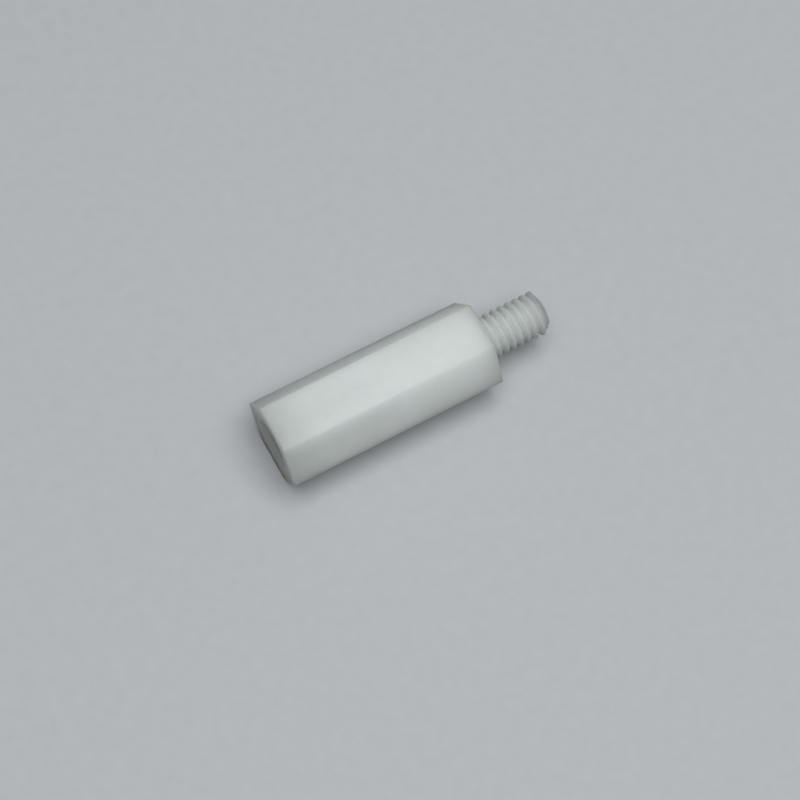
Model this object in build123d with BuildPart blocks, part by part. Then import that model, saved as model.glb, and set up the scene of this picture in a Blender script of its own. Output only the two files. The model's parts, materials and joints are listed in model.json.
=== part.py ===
from build123d import *
import math
import os

# Hex standoff: one moulded nylon piece, a hexagonal body with a tapped bore at one end
# and a threaded stud at the other. It lies on one of its flats, as it rests on a bench.
# Millimetres. +X runs along the axis from the body out through the stud, +Z is up, and
# the origin is on the axis in the plane of the shoulder that the stud stands on.
# The stud is drawn at the outer diameter of its thread, and the bore at tapping size.

# Body
across_flats = 7.0  # spanner size, from one flat to the opposite one
body_length = 19.4  # from the female end to the shoulder
corner_radius = 0.15  # the six long corners
end_edge_radius = 0.1  # the outline of each end of the body

# Thread, the same at both ends
thread_size = 4.0  # nominal diameter
thread_pitch = 0.7  # coarse series

# Stud
stud_length = 5.8  # from the shoulder to the tip
stud_allowance = 0.15  # how much the stud's outer diameter is under the nominal one
stud_root_radius = 0.15  # where the stud meets the shoulder
stud_tip_radius = 0.1  # the rim of the tip

# Tapped bore
bore_depth = 10.0  # from the female end to the flat bottom
mouth_allowance = 0.4  # how much wider the countersunk mouth is than the nominal size
mouth_angle = 90.0  # whole angle of the countersink

# Sizes that follow from the ones above
stud_radius = (thread_size - stud_allowance) / 2
bore_radius = (thread_size - thread_pitch) / 2
mouth_radius = (thread_size + mouth_allowance) / 2
mouth_depth = (mouth_radius - bore_radius) / math.tan(math.radians(mouth_angle / 2))

# Places along the axis
female_end = -body_length
mouth_bottom = female_end + mouth_depth
bore_bottom = female_end + bore_depth

with BuildPart() as standoff:
    # Hexagonal body with two level flats, top and bottom
    with BuildSketch(Plane.YZ.offset(female_end)):
        RegularPolygon(radius=across_flats / 2, side_count=6, major_radius=False)
    extrude(amount=body_length)
    fillet(standoff.edges().filter_by(Axis.X), radius=corner_radius)
    end_outlines = standoff.faces().filter_by(Axis.X).edges()
    fillet(end_outlines, radius=end_edge_radius)

    # Tapped bore, turned from its half section: mouth, straight wall and flat bottom
    with BuildSketch(Plane.XZ):
        with BuildLine():
            Polyline(
                (female_end, 0),
                (female_end, mouth_radius),
                (mouth_bottom, bore_radius),
                (bore_bottom, bore_radius),
                (bore_bottom, 0),
                close=True,
            )
        make_face()
    revolve(axis=Axis.X, mode=Mode.SUBTRACT)

    # Stud, standing on the shoulder
    with BuildSketch(Plane.YZ):
        Circle(stud_radius)
    extrude(amount=stud_length)
    stud_circles = standoff.edges(Select.LAST).filter_by(GeomType.CIRCLE).sort_by(Axis.X)
    stud_root = stud_circles[0]
    stud_tip = stud_circles[-1]
    fillet(stud_root, radius=stud_root_radius)
    fillet(stud_tip, radius=stud_tip_radius)

standoff.part.label = "standoff"

os.makedirs("parts", exist_ok=True)
export_step(standoff.part, "parts/standoff.step")
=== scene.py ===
import json
import math

import bmesh
import bpy
from mathutils import Matrix, Vector, noise


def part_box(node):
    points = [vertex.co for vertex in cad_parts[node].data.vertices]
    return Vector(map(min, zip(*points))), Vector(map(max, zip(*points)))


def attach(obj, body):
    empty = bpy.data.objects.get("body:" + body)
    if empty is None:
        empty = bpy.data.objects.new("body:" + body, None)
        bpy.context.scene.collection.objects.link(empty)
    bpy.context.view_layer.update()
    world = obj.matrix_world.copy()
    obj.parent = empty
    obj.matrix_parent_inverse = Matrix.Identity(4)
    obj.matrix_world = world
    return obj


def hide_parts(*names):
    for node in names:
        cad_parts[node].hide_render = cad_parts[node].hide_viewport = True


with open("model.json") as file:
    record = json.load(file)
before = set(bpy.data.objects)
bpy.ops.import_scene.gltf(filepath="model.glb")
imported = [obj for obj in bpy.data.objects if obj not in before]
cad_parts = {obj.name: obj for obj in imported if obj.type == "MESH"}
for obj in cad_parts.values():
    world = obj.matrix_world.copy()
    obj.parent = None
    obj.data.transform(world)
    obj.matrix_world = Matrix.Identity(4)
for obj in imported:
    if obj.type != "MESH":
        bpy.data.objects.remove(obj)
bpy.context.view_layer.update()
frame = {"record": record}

# A hex standoff of natural white nylon, lying on one of its flats.
# Metres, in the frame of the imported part: +X along the axis towards the stud, +Z up,
# and the origin on the axis in the plane of the shoulder. Angles about the axis run
# from +Y towards +Z, so a corner of the hexagon is at 0 and the upper flat at 90 degrees.

MM = 0.001
DEG = math.pi / 180
TURN = 2 * math.pi

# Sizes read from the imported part
mounts = {mount["name"]: mount for mount in frame["record"]["mounts"]}
low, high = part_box("standoff")
flat_distance = high[2]
female_end = low[0]
stud_tip = high[0]
stud_radius = mounts["male_stud"]["dims"]["r_mm"] * MM
bore_radius = mounts["female_thread"]["dims"]["r_mm"] * MM
bore_wall_length = mounts["female_thread"]["dims"]["length_mm"] * MM
mouth_depth = mounts["female_thread"]["pos_m"][0] - female_end
mouth_radius = bore_radius + mouth_depth
bore_bottom = female_end + mouth_depth + bore_wall_length

# Small radii. That of the body's long corners follows from how far they reach.
corner_radius = (flat_distance / math.cos(30 * DEG) - high[1]) / (1 / math.cos(30 * DEG) - 1)
end_edge_radius = 0.1 * MM
stud_root_radius = 0.15 * MM
stud_tip_radius = 0.04 * MM
least_rounding = 0.01 * MM

# The flats of the moulded body sink a little between its edges, and are slightly uneven
flat_sink = 0.02 * MM
sink_run = 3 * MM
unevenness = 0.006 * MM
uneven_run = 1 * MM
uneven_scale = 3.2 * MM

# Thread, right-handed, with an ISO metric form at both ends. The stud's crests are under
# size, but its roots are where they are on a full thread. A land is half the width of the
# flat at the large or the small diameter, as a share of the pitch.
pitch = 0.7 * MM
large_land = 1 / 16
small_land = 1 / 8
flank_softening = 0.05
nominal_radius = bore_radius + pitch / 2
full_stud_depth = 0.6134 * pitch
stud_thread_depth = stud_radius - (nominal_radius - full_stud_depth)
bore_thread_depth = 0.5413 * pitch

# Stud thread. A ridge passes through ridge_x at ridge_angle, on the near side. The first ridge
# starts bluntly on the upper near side of the tip, and ahead of it the tip stays at the root
# diameter. No groove follows that ridge, so the rim over the top and the far side is whole.
ridge_x = 5.31 * MM
ridge_angle = 198 * DEG
blunt_start = 150 * DEG
blunt_end = 164 * DEG
groove_fade_start = 200 * DEG
groove_fade_end = 300 * DEG
stud_thread_start = 0.25 * MM
stud_thread_full = 0.95 * MM

# A flat trimmed slantwise off the rim of the tip, on its upper far side
trim_angle = 57 * DEG
trim_distance = 1.69 * MM
trim_slope = 0.55

# Bore thread, which opens into the countersunk mouth and runs out near the bottom
bore_ridge_x = female_end + 0.4 * MM
bore_runout = 1.2 * MM

# How finely the mesh is divided. Rows are places within one turn of a thread, from 0 to 1,
# and shares are parts of a radius.
CORNER_STEPS = 3
FLAT_STEPS = 26
BODY_RINGS = 44
EDGE_STEPS = 4
FACE_STEPS = 7
STUD_ROWS = (
    0, 0.055, 0.1, 0.16, 0.24, 0.31, 0.375, 0.44, 0.5, 0.56, 0.625, 0.69, 0.76, 0.84, 0.9, 0.945,
)
BORE_ROWS = (0, 0.07, 0.125, 0.2, 0.3, 0.38, 0.44, 0.5, 0.56, 0.62, 0.7, 0.8, 0.875, 0.93)
TIP_SHARES = (0.85, 0.6, 0.3)
BOTTOM_SHARES = (0.8, 0.5, 0.25)
edge_hold = 0.12 * MM


def smoothstep(start, end, value):
    """0 before start, 1 after end and a smooth rise between them."""
    t = min(max((value - start) / (end - start), 0.0), 1.0)
    return t * t * (3 - 2 * t)


def angles_about_the_axis():
    """One turn of angles, the same for every ring, and closer together round the corners."""
    corner_centre = (flat_distance - corner_radius) / math.cos(30 * DEG)
    half_corner = math.atan2(
        corner_radius * math.sin(30 * DEG), corner_centre + corner_radius * math.cos(30 * DEG)
    )
    flat_span = 60 * DEG - 2 * half_corner
    found = []
    for side in range(6):
        corner = side * 60 * DEG
        for step in range(CORNER_STEPS + 1):
            found.append(corner + half_corner * step / CORNER_STEPS)
        for step in range(1, FLAT_STEPS + 1):
            found.append(corner + half_corner + flat_span * step / FLAT_STEPS)
        for step in range(1, CORNER_STEPS):
            found.append(corner + 60 * DEG - half_corner * (1 - step / CORNER_STEPS))
    return found


ANGLES = angles_about_the_axis()


def hexagon_radius(angle, inset=0.0):
    """Distance from the axis to the outline of the body, drawn in all round by inset."""
    flat = flat_distance - inset
    rounding = max(corner_radius - inset, least_rounding)
    from_normal = abs((angle % (60 * DEG)) - 30 * DEG)
    centre = (flat - rounding) / math.cos(30 * DEG)
    if flat * math.tan(from_normal) <= (flat - rounding) * math.tan(30 * DEG):
        return flat / math.cos(from_normal)
    from_corner = 30 * DEG - from_normal
    across = centre * math.sin(from_corner)
    return centre * math.cos(from_corner) + math.sqrt(rounding**2 - across**2)


def end_outline(angle):
    """Outline of the flat part of each end of the body."""
    return hexagon_radius(angle, end_edge_radius)


def body_radius(x, angle):
    """Radius of the body's side, with the sinking and unevenness of its flats."""
    from_normal = abs((angle % (60 * DEG)) - 30 * DEG) / (30 * DEG)
    from_end = min(x - female_end, -x)
    sink = flat_sink * (1 - from_normal**2) * smoothstep(0, sink_run, from_end)
    place = Vector((x, math.cos(angle) * flat_distance, math.sin(angle) * flat_distance))
    waves = 1 + noise.noise(place / uneven_scale)
    uneven = unevenness * waves * smoothstep(0, uneven_run, from_end)
    return hexagon_radius(angle) - (sink + uneven) * (1 - from_normal**8)


def thread_form(place, ridge_land, groove_land):
    """Depth, from 0 on the ridges at whole turns to 1 in the grooves, with softened flanks."""
    from_ridge = abs(place - round(place))
    t = (from_ridge - ridge_land) / (0.5 - groove_land - ridge_land)
    t = min(max(t, 0.0), 1.0)
    return t - flank_softening * math.sin(TURN * t)


def stud_thread_radius(x, angle):
    """Radius of the threaded stud at a place along the axis and an angle about it."""
    turns = (x - ridge_x) / pitch - (angle - ridge_angle) / TURN
    depth = thread_form(turns, large_land, small_land)
    groove = math.floor(turns) + 0.5
    groove_angle = TURN * groove + angle - ridge_angle
    if turns > groove:
        start = TURN / 2 - ridge_angle
        missing = smoothstep(blunt_start + start, blunt_end + start, groove_angle)
        depth += (1 - depth) * missing
    depth *= 1 - smoothstep(groove_fade_start, groove_fade_end, groove_angle)
    depth *= smoothstep(stud_thread_start, stud_thread_full, x)
    threaded = stud_radius - stud_thread_depth * depth
    from_trim = math.cos(angle - trim_angle)
    if from_trim > 0:
        trimmed = (trim_distance + trim_slope * (stud_tip - x)) / from_trim
        threaded = min(threaded, trimmed)
    return threaded


def bore_thread_radius(x, angle):
    """Radius of the tapped bore, or of its mouth where that is wider."""
    turns = (x - bore_ridge_x) / pitch - angle / TURN
    depth = thread_form(turns, small_land, large_land)
    depth *= smoothstep(0, bore_runout, bore_bottom - x)
    threaded = bore_radius + bore_thread_depth * depth
    mouth = mouth_radius - (x - female_end)
    return max(threaded, mouth)


def point(x, radius, angle):
    """A place in the part's frame, from its place along the axis and round it."""
    return (x, radius * math.cos(angle), radius * math.sin(angle))


def ring(mesh, x, radius_at):
    """A closed ring of vertices across the axis."""
    return [mesh.verts.new(point(x, radius_at(angle), angle)) for angle in ANGLES]


def bridge(mesh, rings):
    """Bands of four-sided faces, from each ring to the next."""
    for first, second in zip(rings, rings[1:]):
        for i in range(len(first)):
            j = (i + 1) % len(first)
            mesh.faces.new((first[i], first[j], second[j], second[i]))


def cap(mesh, last, x):
    """A fan that closes a ring on the axis."""
    centre = mesh.verts.new((x, 0, 0))
    for i in range(len(last)):
        mesh.faces.new((last[i], last[(i + 1) % len(last)], centre))


def threaded_band(mesh, first, last, radius_at, ridge_at, rows):
    """A band of faces whose rows run along the thread's own helix, between two plain rings.

    ridge_at is where the ridge crosses angle 0. A row that would pass an end ring meets it.
    """
    start, end = first[0].co.x, last[0].co.x
    count, turn_rows = len(ANGLES), len(rows)
    margin = 0.02 * pitch
    made = {}

    def vertex(column, row):
        if column == count:
            column, row = 0, row + turn_rows
        turn, part = divmod(row, turn_rows)
        x = ridge_at + pitch * (turn + rows[part] + ANGLES[column] / TURN)
        if x <= start + margin:
            return first[column]
        if x >= end - margin:
            return last[column]
        if (column, row) not in made:
            place = point(x, radius_at(x, ANGLES[column]), ANGLES[column])
            made[column, row] = mesh.verts.new(place)
        return made[column, row]

    lowest = turn_rows * math.floor((start - ridge_at) / pitch - 2)
    highest = turn_rows * math.ceil((end - ridge_at) / pitch + 1)
    for column in range(count):
        for row in range(lowest, highest):
            around = [
                vertex(column, row),
                vertex(column + 1, row),
                vertex(column + 1, row + 1),
                vertex(column, row + 1),
            ]
            corners = [v for i, v in enumerate(around) if v is not around[i - 1]]
            if len(corners) > 2:
                mesh.faces.new(corners)


def face_rings(mesh, x, inner_radius):
    """Rings on a flat end of the body, inwards from its outline to just short of a circle."""
    rings = []
    for step in range(1, FACE_STEPS):
        share = step / FACE_STEPS

        def radius_at(angle):
            outer = end_outline(angle)
            return outer + (inner_radius(angle) - outer) * share

        rings.append(ring(mesh, x, radius_at))
    return rings


def quarter_turn():
    """Angles through the section of a rounded edge."""
    return [90 * DEG * step / EDGE_STEPS for step in range(EDGE_STEPS + 1)]


def female_end_rings(mesh):
    """The female end, from the mouth out over its face and round its outline."""

    def mouth_outline(angle):
        return bore_thread_radius(female_end, angle)

    rings = [ring(mesh, female_end, mouth_outline)]
    rings.extend(reversed(face_rings(mesh, female_end, mouth_outline)))
    for turned in quarter_turn():
        inset = end_edge_radius * (1 - math.sin(turned))
        x = female_end + end_edge_radius * (1 - math.cos(turned))
        rings.append(ring(mesh, x, lambda a: hexagon_radius(a, inset)))
    return rings


def side_rings(mesh):
    """The sides of the body, with a ring close to each end that holds its edge."""
    start = female_end + end_edge_radius
    end = -end_edge_radius
    places = [start + (end - start) * step / BODY_RINGS for step in range(1, BODY_RINGS)]
    places = [start + edge_hold, *places, end - edge_hold]
    return [ring(mesh, x, lambda a: body_radius(x, a)) for x in places]


def shoulder_rings(mesh):
    """The shoulder: its rounded outline, its face and the radius at the stud's root."""
    rings = []
    for turned in quarter_turn():
        inset = end_edge_radius * (1 - math.cos(turned))
        x = end_edge_radius * (math.sin(turned) - 1)
        rings.append(ring(mesh, x, lambda a: hexagon_radius(a, inset)))
    root_circle = stud_radius + stud_root_radius
    rings.extend(face_rings(mesh, 0.0, lambda a: root_circle))
    for turned in quarter_turn():
        radius = root_circle - stud_root_radius * math.sin(turned)
        x = stud_root_radius * (1 - math.cos(turned))
        rings.append(ring(mesh, x, lambda a: radius))
    return rings


def tip_rings(mesh):
    """The stud's tip: its rounded rim and the rings on its flat face."""
    rim_start = stud_tip - stud_tip_radius
    rings = []
    for turned in quarter_turn():
        inset = stud_tip_radius * (1 - math.cos(turned))
        x = rim_start + stud_tip_radius * math.sin(turned)
        rings.append(ring(mesh, x, lambda a: stud_thread_radius(x, a) - inset))
    root_radius = stud_radius - stud_thread_depth
    for share in TIP_SHARES:
        rings.append(ring(mesh, stud_tip, lambda a: root_radius * share))
    return rings


def bore_bottom_rings(mesh):
    """The flat bottom of the bore."""
    rings = [ring(mesh, bore_bottom, lambda a: bore_thread_radius(bore_bottom, a))]
    for share in BOTTOM_SHARES:
        rings.append(ring(mesh, bore_bottom, lambda a: bore_radius * share))
    return rings


def as_object(mesh, name):
    """A scene object that holds a finished bmesh."""
    data = bpy.data.meshes.new(name)
    mesh.to_mesh(data)
    mesh.free()
    made = bpy.data.objects.new(name, data)
    bpy.context.scene.collection.objects.link(made)
    return made


def make_standoff():
    """The whole piece as one closed mesh: the outside, the threaded stud and the tapped bore."""
    mesh = bmesh.new()
    outside = female_end_rings(mesh) + side_rings(mesh) + shoulder_rings(mesh)
    bridge(mesh, outside)

    tip = tip_rings(mesh)
    stud_ridge_at = ridge_x - pitch * ridge_angle / TURN
    threaded_band(mesh, outside[-1], tip[0], stud_thread_radius, stud_ridge_at, STUD_ROWS)
    bridge(mesh, tip)
    cap(mesh, tip[-1], stud_tip)

    bottom = bore_bottom_rings(mesh)
    threaded_band(mesh, outside[0], bottom[0], bore_thread_radius, bore_ridge_x, BORE_ROWS)
    bridge(mesh, bottom)
    cap(mesh, bottom[-1], bore_bottom)

    bmesh.ops.recalc_face_normals(mesh, faces=mesh.faces)
    for face in mesh.faces:
        face.smooth = True
    return as_object(mesh, "standoff_nylon")


def new_material(name):
    """A node material, with its node tree and its principled shader."""
    material = bpy.data.materials.new(name)
    material.use_nodes = True
    tree = material.node_tree
    return material, tree, tree.nodes["Principled BSDF"]


def put(tree, socket, value):
    """Link an input to another node's output, or set it to a plain value."""
    if isinstance(value, bpy.types.NodeSocket):
        tree.links.new(value, socket)
    else:
        socket.default_value = value


def add(tree, kind, **inputs):
    """A node with the named inputs set or linked."""
    node = tree.nodes.new(kind)
    for name, value in inputs.items():
        put(tree, node.inputs[name.replace("_", " ")], value)
    return node


def ramp(tree, factor, stops):
    """A colour ramp with the given (position, colour) stops."""
    node = tree.nodes.new("ShaderNodeValToRGB")
    tree.links.new(factor, node.inputs["Fac"])
    elements = node.color_ramp.elements
    elements[0].position, elements[0].color = stops[0]
    elements[1].position, elements[1].color = stops[-1]
    for position, colour in stops[1:-1]:
        elements.new(position).color = colour
    return node.outputs["Color"]


def grey_stops(shares):
    """Colour stops of plain grey for a list of (position, share)."""
    return [(position, (share, share, share, 1)) for position, share in shares]


def mix_colours(tree, blend, factor, first, second):
    """The colour that comes of mixing two, each given as a socket or a plain colour."""
    node = tree.nodes.new("ShaderNodeMix")
    node.data_type = "RGBA"
    node.blend_type = blend
    first_socket, second_socket = [socket for socket in node.inputs if socket.type == "RGBA"]
    put(tree, node.inputs["Factor"], factor)
    put(tree, first_socket, first)
    put(tree, second_socket, second)
    return [socket for socket in node.outputs if socket.type == "RGBA"][0]


# The nylon. Noise scales are in cells for each metre. The milky colour clouds over a few
# millimetres, with finer flecks, and its flow marks are drawn out along the body.
milk = [
    (0.3, (0.735, 0.805, 0.764, 1)),
    (0.5, (0.77, 0.84, 0.805, 1)),
    (0.7, (0.8, 0.87, 0.842, 1)),
]
cloud_scale = 230.0
flow_scale = (500.0, 2600.0, 2600.0)
flow_height = 0.05 * MM
flow_strength = 0.4
grain_scale = 9000.0
grain_height = 0.01 * MM
grain_strength = 0.12
least_roughness = 0.42
most_roughness = 0.6
nylon_ior = 1.53
nylon_gloss = 0.25

# Positions of the stops below are shares of the length from the female end to the tip of the
# stud. Each stop of painted shade is a share of the milky colour. The painted shade darkens it
# most just inside the female end, less on the stud and at the shoulder, and least round the
# bore's bottom, standing in for light lost through thin walls. Each stop of reach is a share of
# how far light travels inside, least round the bore and most in the stud.
shoulder = -female_end / (stud_tip - female_end)
wall_end = (bore_bottom - female_end) / (stud_tip - female_end)
painted_shade_stops = [
    (0.0, 0.88),
    (0.02, 0.80),
    (0.06, 0.81),
    (0.12, 0.91),
    (0.20, 0.98),
    (wall_end - 0.04, 1.0),
    (wall_end + 0.10, 0.97),
    (shoulder - 0.06, 0.975),
    (shoulder, 0.94),
    (shoulder + 0.02, 0.905),
    (1.0, 0.92),
]
longest_reach = 14 * MM
reach_colour = (1.0, 1.0, 1.04)
reach = [
    (0.0, 0.6),
    (0.06, 0.52),
    (0.14, 0.44),
    (wall_end - 0.04, 0.44),
    (wall_end + 0.12, 0.72),
    (shoulder - 0.04, 0.76),
    (shoulder + 0.01, 1.0),
    (1.0, 1.0),
]


def nylon_surface(tree, shader, where):
    """Satin gloss that varies a little, and fine relief: a moulded grain under flow marks."""
    stretch = add(tree, "ShaderNodeMapping", Vector=where, Scale=flow_scale)
    flow = add(
        tree, "ShaderNodeTexNoise", Vector=stretch.outputs["Vector"], Scale=1.0, Detail=4.0
    ).outputs["Fac"]
    gloss = add(
        tree, "ShaderNodeMapRange", Value=flow, To_Min=least_roughness, To_Max=most_roughness
    )
    put(tree, shader.inputs["Roughness"], gloss.outputs["Result"])
    grain = add(
        tree, "ShaderNodeTexNoise", Vector=where, Scale=grain_scale, Detail=3.0, Roughness=0.6
    ).outputs["Fac"]
    fine = add(
        tree, "ShaderNodeBump", Height=grain, Strength=grain_strength, Distance=grain_height
    )
    marks = add(
        tree,
        "ShaderNodeBump",
        Height=flow,
        Strength=flow_strength,
        Distance=flow_height,
        Normal=fine.outputs["Normal"],
    )
    put(tree, shader.inputs["Normal"], marks.outputs["Normal"])


def nylon_material():
    """Natural nylon: satin, milky, and see-through enough for light to spread inside it."""
    material, tree, shader = new_material("nylon")
    where = tree.nodes.new("ShaderNodeTexCoord").outputs["Object"]
    x = add(tree, "ShaderNodeSeparateXYZ", Vector=where).outputs["X"]
    along = add(
        tree, "ShaderNodeMapRange", Value=x, From_Min=female_end, From_Max=stud_tip
    ).outputs["Result"]

    clouds = add(
        tree, "ShaderNodeTexNoise", Vector=where, Scale=cloud_scale, Detail=6.0, Roughness=0.7
    )
    milky = ramp(tree, clouds.outputs["Fac"], milk)
    # Painted shade: the milky colour is darkened along the axis, most at the female end and on
    # the stud.
    painted_thin_shade = ramp(tree, along, grey_stops(painted_shade_stops))
    put(tree, shader.inputs["Base Color"], mix_colours(tree, "MULTIPLY", 1.0, milky, painted_thin_shade))

    spread = ramp(tree, along, grey_stops(reach))
    depth = add(tree, "ShaderNodeMapRange", Value=spread, To_Max=longest_reach)
    put(tree, shader.inputs["Subsurface Scale"], depth.outputs["Result"])
    shader.inputs["Subsurface Radius"].default_value = reach_colour
    shader.inputs["Subsurface Weight"].default_value = 1.0

    nylon_surface(tree, shader, where)
    shader.inputs["IOR"].default_value = nylon_ior
    shader.inputs["Specular IOR Level"].default_value = nylon_gloss
    return material


# The floor. What is seen is paler than the light that it gives back to the part.
seen_tones = [(0.3, (0.49, 0.495, 0.51, 1)), (0.7, (0.51, 0.515, 0.53, 1))]
returned_tone = (0.15, 0.15, 0.15, 1)
floor_grain_scale = 900.0
floor_roughness = 0.7
floor_half_width = 1.5
floor_gap = 0.01 * MM


def floor_material():
    """Plain pale bench top with a faint, even grain."""
    material, tree, shader = new_material("floor_grey")
    where = tree.nodes.new("ShaderNodeTexCoord").outputs["Object"]
    grain = add(tree, "ShaderNodeTexNoise", Vector=where, Scale=floor_grain_scale, Detail=3.0)
    seen = ramp(tree, grain.outputs["Fac"], seen_tones)
    path = tree.nodes.new("ShaderNodeLightPath")
    looked_at = path.outputs["Is Camera Ray"]
    for ray in ("Is Glossy Ray", "Is Transmission Ray"):
        either = tree.nodes.new("ShaderNodeMath")
        either.operation = "MAXIMUM"
        tree.links.new(looked_at, either.inputs[0])
        tree.links.new(path.outputs[ray], either.inputs[1])
        looked_at = either.outputs["Value"]
    colour = mix_colours(tree, "MIX", looked_at, returned_tone, seen)
    put(tree, shader.inputs["Base Color"], colour)
    shader.inputs["Roughness"].default_value = floor_roughness
    return material


def make_floor():
    """A flat sheet just under the flat that the part lies on."""
    mesh = bmesh.new()
    bmesh.ops.create_grid(mesh, x_segments=2, y_segments=2, size=floor_half_width)
    floor = as_object(mesh, "floor")
    floor.location.z = low[2] - floor_gap
    floor.data.materials.append(floor_material())
    return floor


# Camera, at the photograph's angle
camera_target = Vector((-8.35, -1.46, 0)) * MM
camera_distance = 159.6 * MM
camera_azimuth = -126.2 * DEG
camera_elevation = 68.6 * DEG
camera_roll = 7.7 * DEG
camera_lens = 87.5
camera_sensor = 36.0

# Light: one large soft lamp above the part, and an even glow from all round
lamp_place = Vector((0.01, -0.05, 0.43))
lamp_aim = Vector((-7, 0, 0)) * MM
lamp_width = 0.4
lamp_power = 2.0
lamp_colour = (0.955, 0.985, 1.0)
world_colour = (0.9, 0.9, 0.88, 1)
world_strength = 0.095


def make_camera():
    """The scene's camera, which looks down on the part from the near side of its female end."""
    towards = Vector(
        (
            math.cos(camera_elevation) * math.cos(camera_azimuth),
            math.cos(camera_elevation) * math.sin(camera_azimuth),
            math.sin(camera_elevation),
        )
    )
    level_right = Vector((0, 0, 1)).cross(towards).normalized()
    level_up = towards.cross(level_right)
    right = level_right * math.cos(camera_roll) + level_up * math.sin(camera_roll)
    up = level_up * math.cos(camera_roll) - level_right * math.sin(camera_roll)
    data = bpy.data.cameras.new("camera")
    data.lens = camera_lens
    data.sensor_width = camera_sensor
    data.clip_start = 0.001
    data.clip_end = 100.0
    camera = bpy.data.objects.new("camera", data)
    place = camera_target + towards * camera_distance
    turned = Matrix((right, up, towards)).transposed().to_4x4()
    camera.matrix_world = Matrix.Translation(place) @ turned
    bpy.context.scene.collection.objects.link(camera)
    bpy.context.scene.camera = camera


def make_lamp():
    """A soft square lamp that faces the part."""
    data = bpy.data.lights.new("key", "AREA")
    data.shape = "SQUARE"
    data.size = lamp_width
    data.energy = lamp_power
    data.color = lamp_colour
    lamp = bpy.data.objects.new("key", data)
    facing = (lamp_aim - lamp_place).to_track_quat("-Z", "Y")
    lamp.matrix_world = Matrix.Translation(lamp_place) @ facing.to_matrix().to_4x4()
    bpy.context.scene.collection.objects.link(lamp)


def make_world():
    """Even light from all round."""
    world = bpy.data.worlds.new("studio")
    world.use_nodes = True
    background = world.node_tree.nodes["Background"]
    background.inputs["Color"].default_value = world_colour
    background.inputs["Strength"].default_value = world_strength
    bpy.context.scene.world = world


make_camera()
make_world()
make_lamp()

floor = make_floor()

standoff = make_standoff()
standoff.data.materials.append(nylon_material())
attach(standoff, "root")
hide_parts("standoff")

bpy.context.scene.view_settings.view_transform = "Standard"
